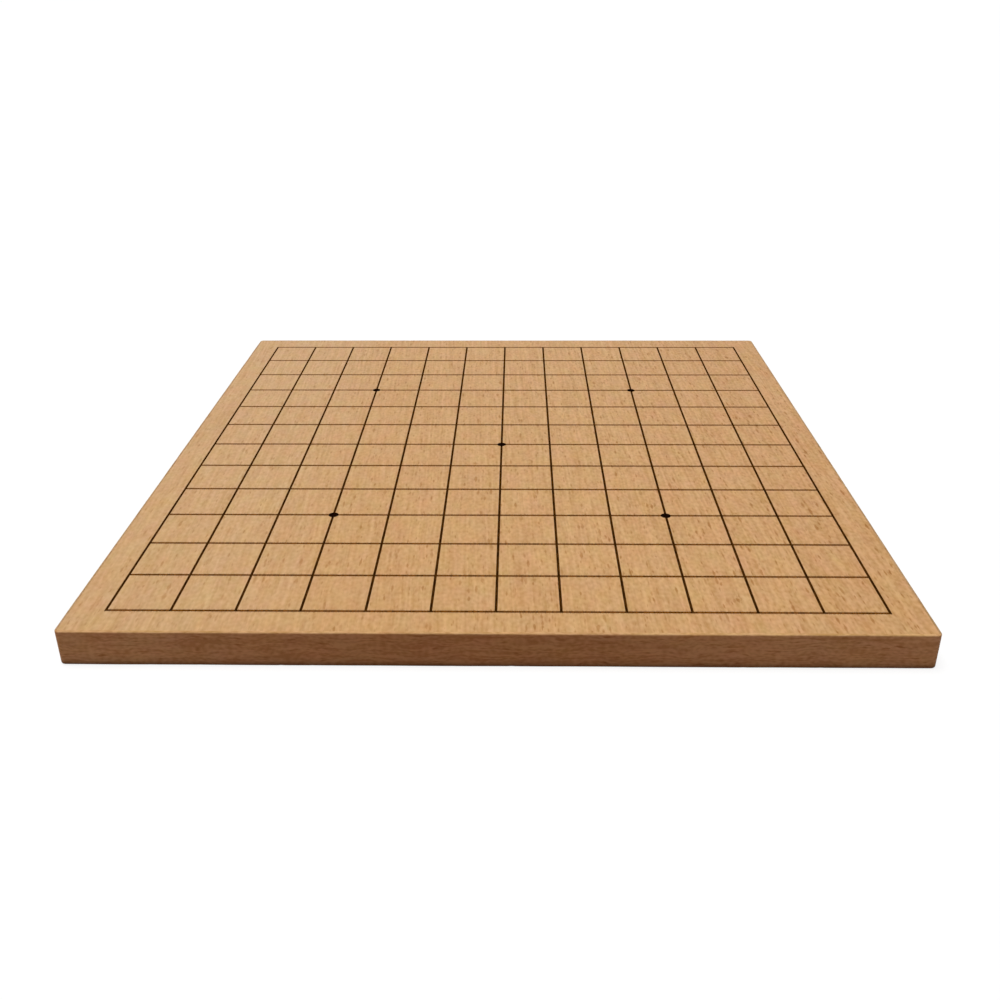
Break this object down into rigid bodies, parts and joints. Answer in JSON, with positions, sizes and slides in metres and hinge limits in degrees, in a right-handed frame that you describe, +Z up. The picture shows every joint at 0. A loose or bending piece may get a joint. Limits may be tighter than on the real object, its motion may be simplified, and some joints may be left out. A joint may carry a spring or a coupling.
{
  "type": "go board",
  "caption": "Flat veneered go board with banded, eased edges and a printed grid with star points, resting flat on its plain underside.",
  "frame": {"origin": "middle of the underside", "axes": "+Z up out of the playing surface, +Y away from the player along the longer side, +X to the player's right"},
  "size_m": [0.29, 0.311, 0.013],
  "materials": {
    "beech_face": "satin lacquered beech veneer, grain from front to back",
    "beech_edge": "satin lacquered beech edge band, grain along its length",
    "fibreboard": "raw medium-density fibreboard",
    "ink": "matt warm black printing ink"
  },
  "bodies": {
    "root": {"core_panel": "fibreboard", "face_veneer": "beech_face", "back_veneer": "beech_face", "front_edge_band": "beech_edge", "rear_edge_band": "beech_edge", "left_edge_band": "beech_edge", "right_edge_band": "beech_edge", "grid_lines": "ink", "star_points": "ink"}
  },
  "joints": []
}
